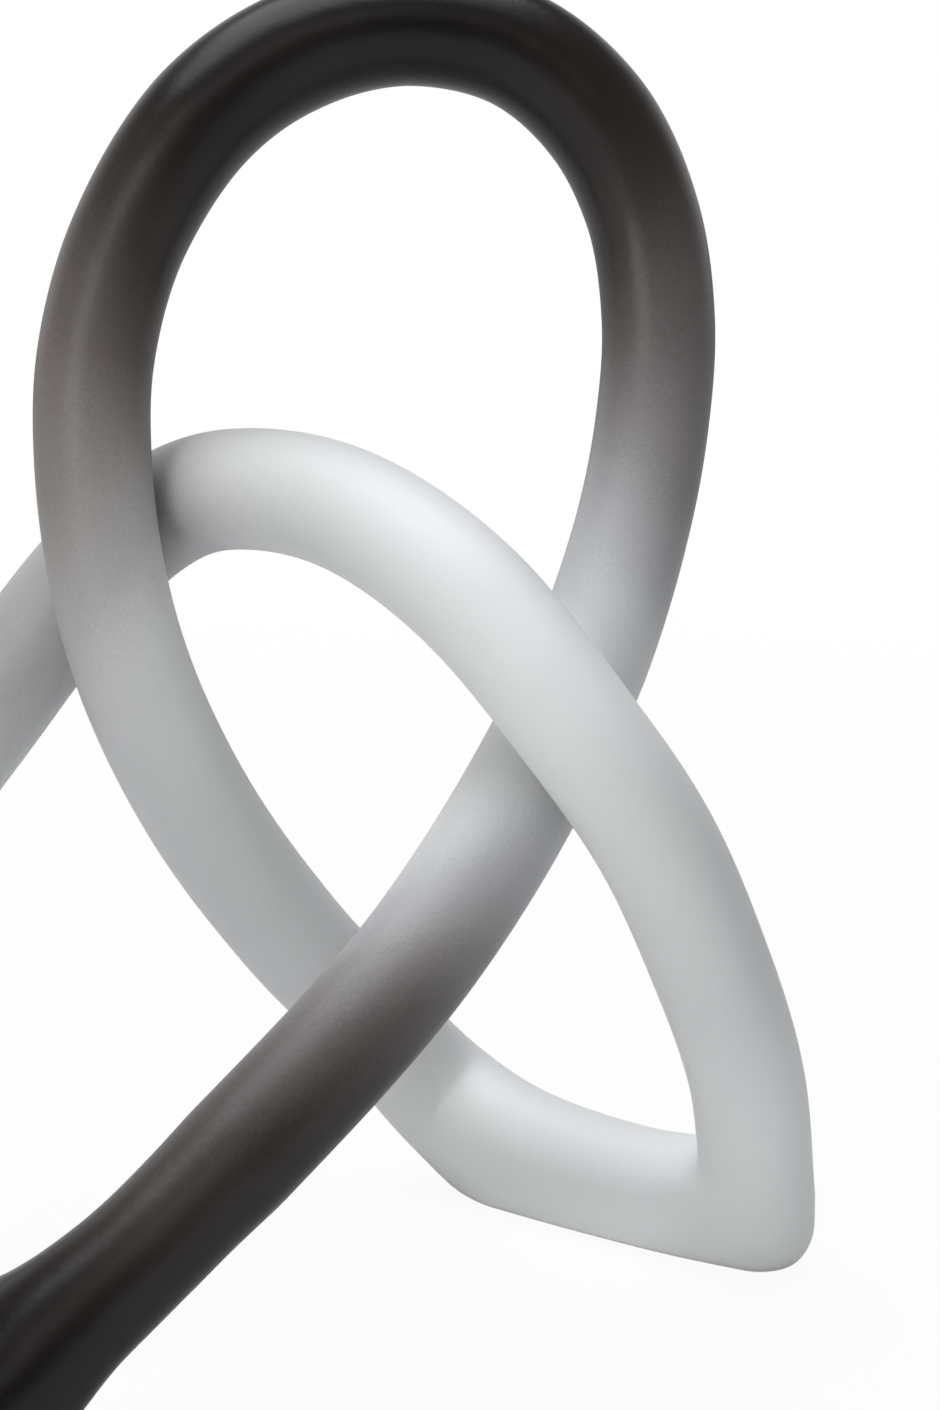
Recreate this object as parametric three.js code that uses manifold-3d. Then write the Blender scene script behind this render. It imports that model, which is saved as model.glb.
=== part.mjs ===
// Abstract knot sculpture for a shelf or table, cast in resin and lacquered.
// One round bar closes on itself as a knot of three loops that pass over and under each other.
// The crown loop stands up, and the two lower loops splay forwards and end in flat feet.
// The bar is cast in three lengths. Each joint hides where the bar runs behind another strand,
// and a steel dowel pin in drilled sockets holds it. Felt pads sit in recesses under the feet.
// Millimetres, +Z up, -Y towards the viewer, Z = 0 at the table.
import * as THREE from 'three';
import { mergeVertices } from 'three/addons/utils/BufferGeometryUtils.js';
import Module from 'manifold-3d';

const wasm = await Module();
wasm.setup();

// Main sizes of the bar's centre line: across from the left leg's bend to the right corner,
// up to the crown's top, the crown's own width, and up to the crossings and the arch's top
const spread = 237;
const crownTop = 315;
const crownWidth = 139;
const archTop = 204.5;
const firstCrossingHeight = 182;
const secondCrossingHeight = 155.5;
const thirdCrossingHeight = 93;

// Depth of the two corners and of the strand at the back, from the middle of the base
const rightCornerY = 44;
const leftCornerY = -106;
const heelY = 107.5;

// Bar
const barDiameter = 28.8;
const fullDiameter = barDiameter + 1;
const slimDiameter = barDiameter - 0.8;
const webDiameter = barDiameter - 2;
const strandGap = 0.4;
const jointGap = 0.3;

// How far past its station the crown's lower joint lies, to hide behind the arch
const crownJointShift = 12;

// Depth, from the middle of the base, of the strands that pass in front at the touching crossings
const crownSideY = 34;
const archFrontY = -33;

// Feet. Each station of a foot is let down until it would sink this far into the table,
// and the one behind the heel is let down by its own drop
const rightCornerHeight = 19;
const leftCornerHeight = 15;
const footSink = 7;
const heelSink = 6.4;
const heelDrop = 5.5;
const toeSink = 2;
const padProud = 0.8;

// Dowel pins
const pinDiameter = 6;
const pinLength = 40;
const socketClearance = 0.3;

// Felt pads
const padDiameter = 12;
const padThickness = 2;
const recessClearance = 0.3;
const padInset = 8;
const rightPadSpacing = 66;
const leftPadSpacing = 38;

// Fineness of the mesh
const barSides = 18;
const ringStep = 7;
const roundSides = 24;

// Centre distance of two strands that touch as they cross
const strandPitch = (barDiameter + fullDiameter) / 2 + strandGap;

// One station of the bar's centre line, with the bar's diameter there
// and how far the lower half of the section is let down
function station(x, y, z, diameter = barDiameter, drop = 0) {
  return { centre: new THREE.Vector3(x, y, z), diameter, drop };
}

// A station on a foot. The section is let down until it would sink this far into the table,
// and the casting is cut flat there
function footStation(x, y, z, sink) {
  return station(x, y, z, barDiameter, z - barDiameter / 2 + sink);
}

// Places that the stations are measured from: the right corner and the left leg's bend,
// the crown's left side, and the heights that the crown rises between
const rightX = spread / 2;
const bendX = -spread / 2;
const leftX = bendX + 48;
const crownLeftX = -48.5;
const crownRightX = crownLeftX + crownWidth;
const crownRise = crownTop - firstCrossingHeight;

// Corners where the two lower loops stand on the table
const rightCorner = footStation(rightX, rightCornerY, rightCornerHeight, toeSink);
const leftCorner = footStation(leftX, leftCornerY, leftCornerHeight, footSink);

// The right foot runs back along the table and rises to the third crossing
const rightFoot = [
  rightCorner,
  footStation(rightX - 29, heelY - 39.5, barDiameter / 2 + 0.1, footSink),
  footStation(rightX - 61.5, heelY - 13.5, 18, heelSink),
  station(rightX - 81, heelY, thirdCrossingHeight - 65.5, barDiameter, heelDrop),
];

// From the third crossing up the left strand, which passes in front of the arch
const leftStrand = [
  station(crownLeftX + 64.5, heelY - 11.5, thirdCrossingHeight - 40),
  station(crownLeftX + 45.5, heelY - 42.5, thirdCrossingHeight - 9),
  station(crownLeftX + 25, crownSideY + 6, firstCrossingHeight - 60),
  station(crownLeftX + 11, crownSideY - 2, firstCrossingHeight - 27),
  station(crownLeftX + 3.5, crownSideY, firstCrossingHeight),
];

// A station of the crown, by its shares of the crown's width and rise
function crownStation(across, up, lean, diameter) {
  const x = crownLeftX + across * crownWidth;
  return station(x, crownSideY + lean, firstCrossingHeight + up * crownRise, diameter);
}

const crown = [
  crownStation(0, 0.233, 4),
  crownStation(0.007, 0.414, 9),
  crownStation(0.065, 0.624, 15),
  crownStation(0.198, 0.838, 21, fullDiameter),
  crownStation(0.36, 0.955, 25, fullDiameter),
  crownStation(0.55, 1, 26),
  crownStation(0.745, 0.959, 27),
  crownStation(0.888, 0.835, 25),
  crownStation(0.971, 0.662, 23, slimDiameter),
  crownStation(1, 0.466, 18, slimDiameter),
  crownStation(0.989, 0.286, 11, slimDiameter),
  crownStation(0.95, 0.098, -2, slimDiameter),
];

// Behind the arch at the second crossing, then forwards and down to the left corner
const diagonal = [
  station(crownRightX - 18, archFrontY + 1.55 * strandPitch, secondCrossingHeight + 10),
  station(crownRightX - 30.5, archFrontY + 0.95 * strandPitch, secondCrossingHeight - 11.5),
  station(crownRightX - 44.5, archFrontY + 5, secondCrossingHeight - 30.5),
  station(crownRightX - 59, archFrontY - 11, secondCrossingHeight - 48),
  station(leftX + 87, leftCornerY + 47, thirdCrossingHeight),
  station(leftX + 66, leftCornerY + 32, thirdCrossingHeight - 19),
  station(leftX + 47, leftCornerY + 21, leftCornerHeight + 42),
  station(leftX + 27, leftCornerY + 12, leftCornerHeight + 24),
  leftCorner,
];

// From the left corner back along the table and up to the first crossing
const leftLeg = [
  leftCorner,
  footStation(leftX - 13, leftCornerY + 20, leftCornerHeight, footSink),
  footStation(leftX - 26, leftCornerY + 40, leftCornerHeight + 2, heelSink),
  station(bendX + 11, leftCornerY + 61, leftCornerHeight + 11),
  station(bendX + 3, leftCornerY + 85, leftCornerHeight + 29),
  station(bendX, crownSideY - 25, firstCrossingHeight - 112),
  station(bendX + 10, crownSideY + 3, firstCrossingHeight - 80),
  station(crownLeftX - 31.5, crownSideY + 24, firstCrossingHeight - 39.5, fullDiameter),
];

// Behind the left strand at the first crossing, over the arch and down the right leg
const arch = [
  station(crownLeftX - 0.5, crownSideY + strandPitch, firstCrossingHeight - 0.5, fullDiameter),
  station(crownLeftX + 2 + 0.53 * strandPitch, crownSideY + 2 + 0.86 * strandPitch, archTop - 8.5,
    fullDiameter),
  station(crownLeftX + 41.5, crownSideY - 1, archTop, fullDiameter),
  station(crownLeftX + 66.5, archFrontY + 40, archTop - 2.5, fullDiameter),
  station(crownRightX - 46, archFrontY + 16, archTop - 18, fullDiameter),
  station(crownRightX - 19, archFrontY, secondCrossingHeight),
  station(crownRightX - 4, archFrontY + 3, secondCrossingHeight - 23),
  station(rightX - 17.3, rightCornerY - 55, rightCornerHeight + 78),
  station(rightX - 5.3, rightCornerY - 23, rightCornerHeight + 38),
  rightCorner,
];

// Fills out the inside of the left corner with a rounder bend
const leftWeb = [
  station(leftX + 47, leftCornerY + 21, leftCornerHeight + 42, webDiameter),
  station(leftX + 24, leftCornerY + 15, leftCornerHeight + 25, webDiameter),
  station(leftX + 14.5, leftCornerY + 18, leftCornerHeight + 19, webDiameter),
  station(leftX - 3, leftCornerY + 27, leftCornerHeight + 12, webDiameter),
  station(leftX - 15, leftCornerY + 37, leftCornerHeight + 9, webDiameter),
  station(leftX - 30, leftCornerY + 53, leftCornerHeight + 11, webDiameter),
  station(bendX + 3, leftCornerY + 85, leftCornerHeight + 29, webDiameter),
];

// A smooth run of the bar through a list of stations
class Run {
  constructor(stations) {
    this.stations = stations;
    this.curve = new THREE.CatmullRomCurve3(stations.map((s) => s.centre), false, 'centripetal');
    this.curve.arcLengthDivisions = 600;
    this.lengths = this.curve.getLengths();
    this.length = this.curve.getLength();
  }

  // Distance along the run of a station, by its place in the list
  distanceOf(index) {
    const share = index / (this.stations.length - 1);
    return this.lengths[Math.round(share * this.curve.arcLengthDivisions)];
  }

  at(distance) {
    const t = this.curve.getUtoTmapping(Math.min(distance / this.length, 1));
    const place = t * (this.stations.length - 1);
    const index = Math.min(Math.floor(place), this.stations.length - 2);
    const [before, after] = [this.stations[index], this.stations[index + 1]];
    const share = place - index;
    return {
      centre: this.curve.getPoint(t),
      tangent: this.curve.getTangent(t),
      diameter: THREE.MathUtils.lerp(before.diameter, after.diameter, share),
      drop: THREE.MathUtils.lerp(before.drop, after.drop, share),
    };
  }
}

// Points of one ring of the bar. Its lower half is let down by the drop
function ringPoints(stop, side, other) {
  const points = [];
  for (let i = 0; i < barSides; i += 1) {
    const turn = (2 * Math.PI * i) / barSides;
    const offset = side.clone().multiplyScalar(Math.cos(turn));
    offset.addScaledVector(other, Math.sin(turn)).multiplyScalar(stop.diameter / 2);
    const point = stop.centre.clone().add(offset);
    if (offset.z < 0) point.z -= stop.drop;
    points.push(point);
  }
  return points;
}

// A closed length of the bar from one distance along its run to another
function barLength(run, from, to) {
  const steps = Math.max(2, Math.round((to - from) / ringStep));
  const vertices = [];
  const triangles = [];
  let side = null;
  for (let i = 0; i <= steps; i += 1) {
    const stop = run.at(from + ((to - from) * i) / steps);
    const guide = side ?? new THREE.Vector3(0, 0, 1).cross(stop.tangent);
    side = guide.clone().addScaledVector(stop.tangent, -guide.dot(stop.tangent)).normalize();
    const other = stop.tangent.clone().cross(side);
    vertices.push(...ringPoints(stop, side, other));
  }
  for (let i = 0; i < steps; i += 1) {
    for (let j = 0; j < barSides; j += 1) {
      const [a, b] = [i * barSides + j, i * barSides + ((j + 1) % barSides)];
      triangles.push(a, b, b + barSides, a, b + barSides, a + barSides);
    }
  }
  for (const [ring, facing] of [[0, 1], [steps, -1]]) {
    const hub = vertices.length;
    const rim = vertices.slice(ring * barSides, (ring + 1) * barSides);
    vertices.push(rim.reduce((sum, p) => sum.add(p), new THREE.Vector3()).divideScalar(barSides));
    for (let j = 0; j < barSides; j += 1) {
      const [a, b] = [ring * barSides + j, ring * barSides + ((j + 1) % barSides)];
      if (facing > 0) triangles.push(hub, b, a);
      else triangles.push(hub, a, b);
    }
  }
  const geometry = new THREE.BufferGeometry().setFromPoints(vertices);
  geometry.setIndex(triangles);
  return geometry;
}

// The rounded end that joins two runs at a corner, let down as the bar is
function cornerBall(corner) {
  const geometry = new THREE.SphereGeometry(corner.diameter / 2, roundSides, roundSides / 2);
  geometry.rotateX(Math.PI / 2);
  const places = geometry.attributes.position;
  for (let i = 0; i < places.count; i += 1) {
    if (places.getZ(i) < -1e-6) places.setZ(i, places.getZ(i) - corner.drop);
  }
  return geometry.translate(corner.centre.x, corner.centre.y, corner.centre.z);
}

// A geometry as a solid that can be joined and cut
function solidOf(geometry) {
  const bare = geometry.clone();
  for (const name of ['normal', 'uv']) bare.deleteAttribute(name);
  const merged = mergeVertices(bare, 1e-4);
  return new wasm.Manifold(new wasm.Mesh({
    numProp: 3,
    vertProperties: new Float32Array(merged.attributes.position.array),
    triVerts: new Uint32Array(merged.index.array),
  }));
}

function geometryOf(solid) {
  const mesh = solid.getMesh();
  const geometry = new THREE.BufferGeometry();
  geometry.setAttribute('position', new THREE.BufferAttribute(mesh.vertProperties, 3));
  geometry.setIndex(new THREE.BufferAttribute(mesh.triVerts, 1));
  geometry.computeVertexNormals();
  return geometry;
}

// A round rod centred at a place and laid along a direction
function rod(diameter, length, centre, direction) {
  const geometry = new THREE.CylinderGeometry(diameter / 2, diameter / 2, length, roundSides);
  const turn = new THREE.Quaternion().setFromUnitVectors(new THREE.Vector3(0, 1, 0), direction);
  return geometry.applyQuaternion(turn).translate(centre.x, centre.y, centre.z);
}

// The two runs between the corners, and where the joints lie on them
const backRun = new Run([...rightFoot, ...leftStrand, ...crown, ...diagonal]);
const frontRun = new Run([...leftLeg, ...arch]);
const webRun = new Run(leftWeb);
const thirdJoint = backRun.distanceOf(rightFoot.length);
const crownEnd = backRun.distanceOf(rightFoot.length + leftStrand.length + crown.length);
const secondJoint = crownEnd + crownJointShift;
const firstJoint = frontRun.distanceOf(leftLeg.length);
const joints = [
  { name: 'left', stop: frontRun.at(firstJoint) },
  { name: 'crown', stop: backRun.at(secondJoint) },
  { name: 'right', stop: backRun.at(thirdJoint) },
];

// Felt pads under the feet, measured along the bar from each corner
const padSpots = [
  { name: 'right_front', run: backRun, distance: padInset },
  { name: 'right_back', run: backRun, distance: padInset + rightPadSpacing },
  { name: 'left_front', run: frontRun, distance: padInset },
  { name: 'left_back', run: frontRun, distance: padInset + leftPadSpacing },
];

function padAt(spot, diameter, from, to) {
  const { centre } = spot.run.at(spot.distance);
  const middle = new THREE.Vector3(centre.x, centre.y, (from + to) / 2);
  return rod(diameter, to - from, middle, new THREE.Vector3(0, 0, 1));
}

// Joins the lengths of one casting, cuts its feet flat and drills its sockets and recesses
function casting(lengths) {
  let solid = lengths.map(solidOf).reduce((whole, next) => whole.add(next));
  const tableSpan = 3 * spread;
  const table = new THREE.BoxGeometry(tableSpan, tableSpan, crownTop);
  table.translate(0, 0, padProud - crownTop / 2);
  solid = solid.subtract(solidOf(table));
  for (const { stop } of joints) {
    const bore = pinDiameter + 2 * socketClearance;
    const depth = pinLength + 2 * socketClearance;
    solid = solid.subtract(solidOf(rod(bore, depth, stop.centre, stop.tangent)));
  }
  for (const spot of padSpots) {
    const wide = padDiameter + 2 * recessClearance;
    const recess = padAt(spot, wide, padProud - 1, padThickness + recessClearance);
    solid = solid.subtract(solidOf(recess));
  }
  return geometryOf(solid);
}

const half = jointGap / 2;
const rightLoop = casting([
  barLength(frontRun, firstJoint + half, frontRun.length),
  cornerBall(rightCorner),
  barLength(backRun, 0, thirdJoint - half),
]);
const crownLoop = casting([barLength(backRun, thirdJoint + half, secondJoint - half)]);
const leftLoop = casting([
  barLength(backRun, secondJoint + half, backRun.length),
  cornerBall(leftCorner),
  barLength(frontRun, 0, firstJoint - half),
  barLength(webRun, 0, webRun.length),
]);

// Finishes
const paleLacquer = new THREE.MeshStandardMaterial({ color: 0xd9dbdc, roughness: 0.45, metalness: 0 });
const fadedLacquer = new THREE.MeshStandardMaterial({ color: 0x6f6b69, roughness: 0.42, metalness: 0 });
const darkLacquer = new THREE.MeshStandardMaterial({ color: 0x2b2827, roughness: 0.4, metalness: 0 });
const steel = new THREE.MeshStandardMaterial({ color: 0xb4b6b8, roughness: 0.35, metalness: 1 });
const felt = new THREE.MeshStandardMaterial({ color: 0xe6e4df, roughness: 0.95, metalness: 0 });

const sculpture = new THREE.Group();

function addPiece(name, geometry, material) {
  const mesh = new THREE.Mesh(geometry, material);
  mesh.name = name;
  sculpture.add(mesh);
}

addPiece('right_loop', rightLoop, paleLacquer);
addPiece('crown_loop', crownLoop, fadedLacquer);
addPiece('left_loop', leftLoop, darkLacquer);
for (const { name, stop } of joints) {
  addPiece(`dowel_pin_${name}`, rod(pinDiameter, pinLength, stop.centre, stop.tangent), steel);
}
for (const spot of padSpots) {
  addPiece(`felt_pad_${spot.name}`, padAt(spot, padDiameter, 0, padThickness), felt);
}

export default sculpture;
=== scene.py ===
"""The looks of an abstract knot sculpture, a round bar that crosses itself three times.

The bar is cast in three lengths and lacquered in a fade from black to pale grey. Metres, +Z up,
-Y towards the viewer, Z = 0 at the table.
"""

from __future__ import annotations

import logging
import math
from collections.abc import Iterator
from contextlib import contextmanager
from dataclasses import dataclass, field
from enum import Enum
from typing import Any

import bpy
import numpy as np
from mathutils import Euler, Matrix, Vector

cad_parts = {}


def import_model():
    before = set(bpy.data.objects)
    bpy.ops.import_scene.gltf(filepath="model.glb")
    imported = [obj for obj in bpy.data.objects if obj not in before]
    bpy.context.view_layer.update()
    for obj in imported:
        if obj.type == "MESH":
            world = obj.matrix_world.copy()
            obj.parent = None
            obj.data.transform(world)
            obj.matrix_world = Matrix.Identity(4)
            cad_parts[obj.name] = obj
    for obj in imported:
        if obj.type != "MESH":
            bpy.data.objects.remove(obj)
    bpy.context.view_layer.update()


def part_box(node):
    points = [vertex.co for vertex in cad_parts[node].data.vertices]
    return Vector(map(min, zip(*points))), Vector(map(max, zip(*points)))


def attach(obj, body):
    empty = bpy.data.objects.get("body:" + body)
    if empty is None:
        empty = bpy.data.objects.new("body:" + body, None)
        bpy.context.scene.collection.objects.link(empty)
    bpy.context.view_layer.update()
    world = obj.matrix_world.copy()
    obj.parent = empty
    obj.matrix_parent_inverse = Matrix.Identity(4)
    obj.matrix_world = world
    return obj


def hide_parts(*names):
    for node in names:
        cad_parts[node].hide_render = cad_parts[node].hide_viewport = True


LOG = logging.getLogger("knot")
ROOT_BODY = "root"
SHADE_ATTRIBUTE = "shade"
ROUND_SIDES = 48  # of a drilled hole, a pad or a pin
WELD = 1e-6  # metres within which two places count as one
RELIEF = 0.001  # metres that the lacquer's bump counts as 1
RIGHT_PADS = ("felt_pad_right_front", "felt_pad_right_back")
LEFT_PADS = ("felt_pad_left_front", "felt_pad_left_back")

Colour = tuple[float, float, float]
Place = tuple[float, float, float]


class Casting(Enum):
    """The three castings that the bar is made of."""

    RIGHT = "right_loop"
    CROWN = "crown_loop"
    LEFT = "left_loop"


class Slot(Enum):
    """The record's material slots."""

    PALE = "lacquer_pale"
    FADED = "lacquer_faded"
    DARK = "lacquer_dark"
    STEEL = "pin_steel"
    FELT = "pad_felt"


@dataclass(frozen=True)
class Station:
    """A station of the bar's centre line.

    Attributes:
        x, y, z: The place of the centre.
        diameter: The bar's diameter there.
        drop: How far the lower half of the section is let down to make a foot.
        shade: The lacquer there, from 0, pale, to 1, black.
    """

    x: float
    y: float
    z: float
    diameter: float
    drop: float
    shade: float

    @property
    def centre(self) -> np.ndarray:
        """The centre as an array."""
        return np.array((self.x, self.y, self.z))


@dataclass(frozen=True)
class KnotSizes:
    """The sizes of the knot, and the stations worked out from them.

    Attributes:
        spread: Across from the left leg's bend to the right corner.
        corner_inset: How far in from the left leg's bend the left corner lies.
        crown_top, arch_top: Heights of the bar's centre at the top of the crown and the arch.
        crown_width, crown_left_x: The crown's own width, and the place across of its left side.
        first_crossing_height, second_crossing_height, third_crossing_height: Heights of the
            crossings.
        right_corner_y, left_corner_y, heel_y: Depth of the corners and of the strand at the back.
        bar_diameter: The bar's usual diameter.
        full_extra, slim_less, web_less: How much fuller or slimmer it is in places.
        strand_gap: Room between two strands that touch as they cross.
        crown_joint_shift: How far past its station the crown's joint lies, to hide behind the arch.
        crown_side_y, arch_front_y: Depth of the strands that pass in front at those crossings.
        right_corner_height, left_corner_height: Heights of the bar's centre at the corners.
        foot_sink, heel_sink, toe_sink: How far a foot's section would sink into the table.
        heel_drop: How far the section behind the heel is let down.
    """

    spread: float = 0.237
    corner_inset: float = 0.048
    crown_top: float = 0.315
    crown_width: float = 0.139
    crown_left_x: float = -0.0485
    arch_top: float = 0.2045
    first_crossing_height: float = 0.182
    second_crossing_height: float = 0.1555
    third_crossing_height: float = 0.093
    right_corner_y: float = 0.044
    left_corner_y: float = -0.106
    heel_y: float = 0.1075
    bar_diameter: float = 0.0288
    full_extra: float = 0.001
    slim_less: float = 0.0008
    web_less: float = 0.002
    strand_gap: float = 0.0004
    crown_joint_shift: float = 0.012
    crown_side_y: float = 0.034
    arch_front_y: float = -0.033
    right_corner_height: float = 0.019
    left_corner_height: float = 0.015
    foot_sink: float = 0.007
    heel_sink: float = 0.0064
    heel_drop: float = 0.0055
    toe_sink: float = 0.002

    @property
    def full_diameter(self) -> float:
        """The bar's diameter where it is fullest."""
        return self.bar_diameter + self.full_extra

    @property
    def slim_diameter(self) -> float:
        """The bar's diameter where it is slimmest."""
        return self.bar_diameter - self.slim_less

    @property
    def strand_pitch(self) -> float:
        """Centre distance of two strands that touch as they cross."""
        return (self.bar_diameter + self.full_diameter) / 2 + self.strand_gap

    @property
    def right_x(self) -> float:
        """Place across of the right corner."""
        return self.spread / 2

    @property
    def bend_x(self) -> float:
        """Place across of the left leg's bend."""
        return -self.spread / 2

    @property
    def left_x(self) -> float:
        """Place across of the left corner."""
        return self.bend_x + self.corner_inset

    @property
    def crown_right_x(self) -> float:
        """Place across of the crown's right side."""
        return self.crown_left_x + self.crown_width

    def station(
        self, x: float, y: float, z: float, shade: float, diameter: float = 0.0, drop: float = 0.0
    ) -> Station:
        """Makes a station, of the bar's own diameter unless another is given."""
        return Station(x, y, z, diameter or self.bar_diameter, drop, shade)

    def foot_station(self, x: float, y: float, z: float, sink: float, shade: float) -> Station:
        """Makes a station of a foot, let down until it would sink that far into the table."""
        return self.station(x, y, z, shade, drop=z - self.bar_diameter / 2 + sink)

    def crown_station(
        self, across: float, up: float, lean: float, shade: float, diameter: float = 0.0
    ) -> Station:
        """Makes a station of the crown.

        Args:
            across, up: Its shares of the crown's width and rise.
            lean: How far it lies behind the crown's side.
            shade: The lacquer there.
            diameter: The bar's diameter there, if it isn't the usual one.

        Returns:
            The station.
        """
        rise = self.crown_top - self.first_crossing_height
        x = self.crown_left_x + across * self.crown_width
        z = self.first_crossing_height + up * rise
        return self.station(x, self.crown_side_y + lean, z, shade, diameter)

    def right_corner(self) -> Station:
        """The corner where the right loop stands on the table."""
        height = self.right_corner_height
        return self.foot_station(self.right_x, self.right_corner_y, height, self.toe_sink, 0.0)

    def left_corner(self) -> Station:
        """The corner where the left loop stands on the table."""
        height = self.left_corner_height
        return self.foot_station(self.left_x, self.left_corner_y, height, self.foot_sink, 1.0)

    def right_foot(self) -> list[Station]:
        """Leads from the right corner back along the table.

        Returns:
            The stations in order along the bar.
        """
        x, y = self.right_x, self.heel_y
        resting = self.bar_diameter / 2 + 0.0001
        return [
            self.right_corner(),
            self.foot_station(x - 0.029, y - 0.0395, resting, self.foot_sink, 0.0),
            self.foot_station(x - 0.0615, y - 0.0135, 0.018, self.heel_sink, 0.01),
            self.station(x - 0.081, y, self.third_crossing_height - 0.0655, 0.04, drop=self.heel_drop),
        ]

    def left_strand(self) -> list[Station]:
        """Leads from the third crossing up to the first, in front of the arch.

        Returns:
            The stations in order along the bar.
        """
        x, y = self.crown_left_x, self.heel_y
        side = self.crown_side_y
        third, first = self.third_crossing_height, self.first_crossing_height
        return [
            self.station(x + 0.0645, y - 0.0115, third - 0.040, 0.10),
            self.station(x + 0.0455, y - 0.0425, third - 0.009, 0.08),
            self.station(x + 0.025, side + 0.006, first - 0.060, 0.08),
            self.station(x + 0.011, side - 0.002, first - 0.027, 0.09),
            self.station(x + 0.0035, side, first, 0.21),
        ]

    def crown(self) -> list[Station]:
        """Leads round the crown, from the first crossing to the second.

        Returns:
            The stations in order along the bar.
        """
        full, slim = self.full_diameter, self.slim_diameter
        return [
            self.crown_station(0, 0.233, 0.004, 0.40),
            self.crown_station(0.007, 0.414, 0.009, 0.62),
            self.crown_station(0.065, 0.624, 0.015, 0.82),
            self.crown_station(0.198, 0.838, 0.021, 0.97, full),
            self.crown_station(0.36, 0.955, 0.025, 0.95, full),
            self.crown_station(0.55, 1, 0.026, 1.0),
            self.crown_station(0.745, 0.959, 0.027, 0.96),
            self.crown_station(0.888, 0.835, 0.025, 0.91),
            self.crown_station(0.971, 0.662, 0.023, 0.81, slim),
            self.crown_station(1, 0.466, 0.018, 0.64, slim),
            self.crown_station(0.989, 0.286, 0.011, 0.46, slim),
            self.crown_station(0.95, 0.098, -0.002, 0.25, slim),
        ]

    def diagonal(self) -> list[Station]:
        """Leads from behind the arch at the second crossing down to the left corner.

        Returns:
            The stations in order along the bar.
        """
        x, y = self.crown_right_x, self.arch_front_y
        second, third = self.second_crossing_height, self.third_crossing_height
        foot_x, foot_y, foot_z = self.left_x, self.left_corner_y, self.left_corner_height
        return [
            self.station(x - 0.018, y + 1.55 * self.strand_pitch, second + 0.010, 0.05),
            self.station(x - 0.0305, y + 0.95 * self.strand_pitch, second - 0.0115, 0.06),
            self.station(x - 0.0445, y + 0.005, second - 0.0305, 0.13),
            self.station(x - 0.059, y - 0.011, second - 0.048, 0.32),
            self.station(foot_x + 0.087, foot_y + 0.047, third, 0.62),
            self.station(foot_x + 0.066, foot_y + 0.032, third - 0.019, 0.81),
            self.station(foot_x + 0.047, foot_y + 0.021, foot_z + 0.042, 0.87),
            self.station(foot_x + 0.027, foot_y + 0.012, foot_z + 0.024, 0.97),
            self.left_corner(),
        ]

    def left_leg(self) -> list[Station]:
        """Leads from the left corner back along the table and up to the first crossing.

        Returns:
            The stations in order along the bar.
        """
        corner_x, corner_y = self.left_x, self.left_corner_y
        height = self.left_corner_height
        side, first = self.crown_side_y, self.first_crossing_height
        sink = self.foot_sink
        return [
            self.left_corner(),
            self.foot_station(corner_x - 0.013, corner_y + 0.020, height, sink, 1.0),
            self.foot_station(
                corner_x - 0.026, corner_y + 0.040, height + 0.002, self.heel_sink, 0.92
            ),
            self.station(self.bend_x + 0.011, corner_y + 0.061, height + 0.011, 0.80),
            self.station(self.bend_x + 0.003, corner_y + 0.085, height + 0.029, 0.60),
            self.station(self.bend_x, side - 0.025, first - 0.112, 0.32),
            self.station(self.bend_x + 0.010, side + 0.003, first - 0.080, 0.13),
            # This last station is darker partly as painted shadow, where the leg runs behind the left
            # strand at the first crossing, and partly as the lacquer's fade.
            self.station(
                self.crown_left_x - 0.0315, side + 0.024, first - 0.0395, 0.19, self.full_diameter
            ),
        ]

    def arch(self) -> list[Station]:
        """Leads from behind the left strand over the arch and down the right leg.

        Returns:
            The stations in order along the bar.
        """
        pitch, full = self.strand_pitch, self.full_diameter
        left, right = self.crown_left_x, self.crown_right_x
        side, front = self.crown_side_y, self.arch_front_y
        top, second = self.arch_top, self.second_crossing_height
        corner_y, height = self.right_corner_y, self.right_corner_height
        return [
            # The first two stations are darker partly as painted shadow, where the arch runs behind
            # the left strand at the first crossing, and partly as the lacquer's fade.
            self.station(
                left - 0.0005, side + pitch, self.first_crossing_height - 0.0005, 0.24, full
            ),
            self.station(
                left + 0.002 + 0.53 * pitch, side + 0.002 + 0.86 * pitch, top - 0.0085, 0.24, full
            ),
            self.station(left + 0.0415, side - 0.001, top, 0.10, full),
            self.station(left + 0.0665, front + 0.040, top - 0.0025, 0.07, full),
            self.station(right - 0.046, front + 0.016, top - 0.018, 0.03, full),
            self.station(right - 0.019, front, second, 0.03),
            self.station(right - 0.004, front + 0.003, second - 0.023, 0.05),
            self.station(self.right_x - 0.0173, corner_y - 0.055, height + 0.078, 0.07),
            self.station(self.right_x - 0.0053, corner_y - 0.023, height + 0.038, 0.02),
            self.right_corner(),
        ]

    def left_web(self) -> list[Station]:
        """Leads through the inside of the left corner, to fill it out with a rounder bend.

        Returns:
            The stations in order along the bar.
        """
        x, y, z = self.left_x, self.left_corner_y, self.left_corner_height
        diameter = self.bar_diameter - self.web_less
        places = [
            (x + 0.047, y + 0.021, z + 0.042, 0.88),
            (x + 0.024, y + 0.015, z + 0.025, 0.97),
            (x + 0.0145, y + 0.018, z + 0.019, 1.0),
            (x - 0.003, y + 0.027, z + 0.012, 1.0),
            (x - 0.015, y + 0.037, z + 0.009, 0.97),
            (x - 0.030, y + 0.053, z + 0.011, 0.85),
            (self.bend_x + 0.003, y + 0.085, z + 0.029, 0.60),
        ]
        return [self.station(*place, diameter) for place in places]


@dataclass
class Reading:
    """What the ideal skin of a bar says at some points.

    Attributes:
        depth: Distance out of the skin, negative inside.
        slope: The direction away from the skin.
        travel: Distance along the bar of the nearest place on its centre line.
        shade: The lacquer's shade there.
    """

    depth: np.ndarray
    slope: np.ndarray
    travel: np.ndarray
    shade: np.ndarray


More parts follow.
